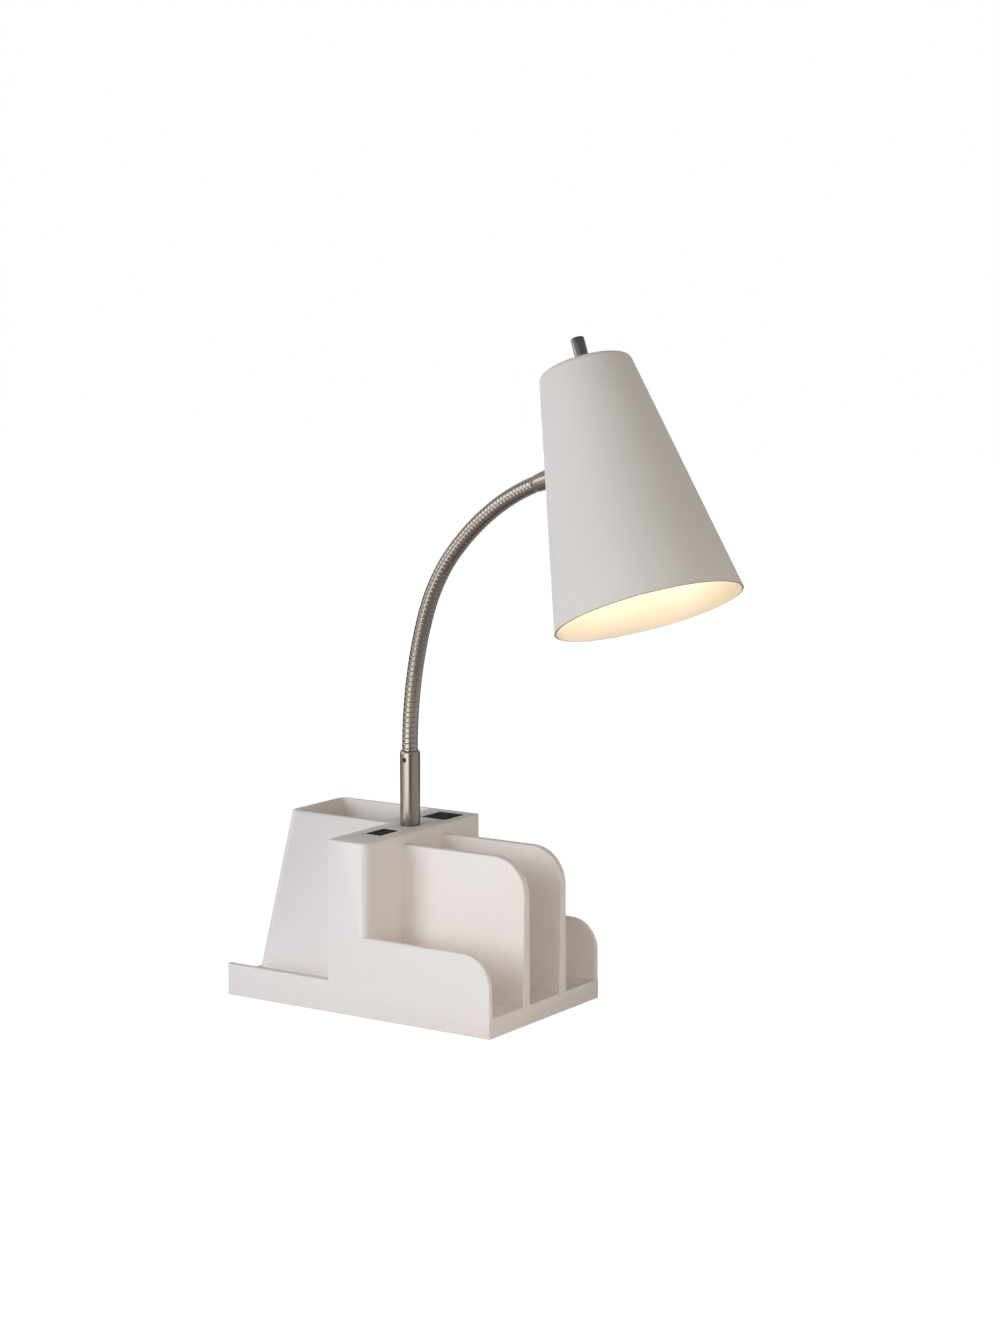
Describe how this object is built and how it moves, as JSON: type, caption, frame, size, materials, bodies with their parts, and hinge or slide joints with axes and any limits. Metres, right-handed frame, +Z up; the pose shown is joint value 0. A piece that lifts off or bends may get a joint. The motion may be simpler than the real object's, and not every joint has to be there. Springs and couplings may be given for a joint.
{
  "type": "gooseneck desk lamp on a desk organizer",
  "caption": "Desk lamp with a ribbed gooseneck and cone shade on a moulded organizer with phone ledge, pen cup, file slots, USB port and outlet.",
  "frame": {"origin": "middle of the organizer's footprint, on the surface that its foam pad rests on", "axes": "+Z up, +X to the right along the front, +Y from the front to the back"},
  "size_m": [0.4531, 0.2301, 0.5221],
  "materials": {
    "white_abs": "matt moulded ABS",
    "grey_abs": "moulded ABS",
    "zinc_steel": "zinc plated",
    "foam": "closed-cell foam",
    "black_steel": "black oxide",
    "black_pc": "moulded polycarbonate",
    "nickel_steel": "nickel plated",
    "circuit_board": "solder mask",
    "brass": "plain",
    "satin_nickel": "satin nickel plate",
    "powder_coat": "matt powder coat",
    "white_phenolic": "moulded",
    "frosted_globe": "frosted",
    "cap_aluminium": "rolled thread",
    "lead_jacket": "PVC sheath"
  },
  "bodies": {
    "base": {"organizer_housing": "white_abs", "bottom_cover": "grey_abs", "cover_screws": "zinc_steel", "foam_pad": "foam", "ballast_plate": "black_steel", "usb_housing": "black_pc", "usb_shell": "nickel_steel", "usb_tongue": "black_pc", "charger_board": "circuit_board", "charger_transformer": "black_pc", "charger_capacitor": "grey_abs", "outlet_housing": "black_pc", "outlet_contacts": "brass", "cord_bush": "black_pc", "terminal_block": "grey_abs", "neck_nipple": "zinc_steel", "nipple_washer": "zinc_steel", "nipple_nut": "zinc_steel", "neck_sleeve": "satin_nickel", "sleeve_set_screw": "zinc_steel", "neck_stretch_root": "satin_nickel", "lead_stretch_root": "lead_jacket"},
    "neck_1": {"neck_stretch_1": "satin_nickel", "lead_stretch_1": "lead_jacket"},
    "neck_2": {"neck_stretch_2": "satin_nickel", "lead_stretch_2": "lead_jacket"},
    "neck_3": {"neck_stretch_3": "satin_nickel", "lead_stretch_3": "lead_jacket"},
    "neck_4": {"neck_stretch_4": "satin_nickel", "lead_stretch_4": "lead_jacket"},
    "head": {"neck_stretch_tip": "satin_nickel", "lead_stretch_tip": "lead_jacket", "shade_ferrule": "satin_nickel", "ferrule_nut": "zinc_steel", "lamp_shade": "powder_coat", "lamp_holder": "white_phenolic", "holder_screw_shell": "brass", "holder_contact": "brass", "switch_nut": "satin_nickel", "bulb_globe": "frosted_globe", "bulb_body": "white_phenolic", "bulb_cap": "cap_aluminium", "bulb_contact": "brass"},
    "knob": {"switch_knob": "satin_nickel", "switch_shaft": "brass"}
  },
  "joints": [
    {"name": "neck_bend_1", "type": "hinge", "parent": "base", "child": "neck_1", "pos_m": [-0.00253, 0.00617, 0.24459], "axis": [0.3173, 0.9483, 0], "range_deg": [-20, 13]},
    {"name": "neck_sway_1", "type": "hinge", "parent": "neck_1", "child": "neck_2", "pos_m": [0.00928, 0.00222, 0.29175], "axis": [0.8927, -0.2987, -0.3373], "range_deg": [-18, 18]},
    {"name": "neck_bend_2", "type": "hinge", "parent": "neck_2", "child": "neck_3", "pos_m": [0.03043, -0.00486, 0.33498], "axis": [0.3173, 0.9483, 0], "range_deg": [-20, 13]},
    {"name": "neck_sway_2", "type": "hinge", "parent": "neck_3", "child": "neck_4", "pos_m": [0.06319, -0.01582, 0.36927], "axis": [0.5852, -0.1958, -0.7869], "range_deg": [-18, 18]},
    {"name": "neck_bend_3", "type": "hinge", "parent": "neck_4", "child": "head", "pos_m": [0.10204, -0.02882, 0.39571], "axis": [0.3173, 0.9483, 0], "range_deg": [-20, 13]},
    {"name": "knob_turn", "type": "hinge", "parent": "head", "child": "knob", "pos_m": [0.19594, -0.06023, 0.5007], "axis": [-0.3725, 0.1246, 0.9196], "continuous": true}
  ],
  "couplings": [
    {"joint": "neck_bend_2", "follows": "neck_bend_1", "ratio": 1},
    {"joint": "neck_bend_3", "follows": "neck_bend_1", "ratio": 1},
    {"joint": "neck_sway_2", "follows": "neck_sway_1", "ratio": 1}
  ]
}
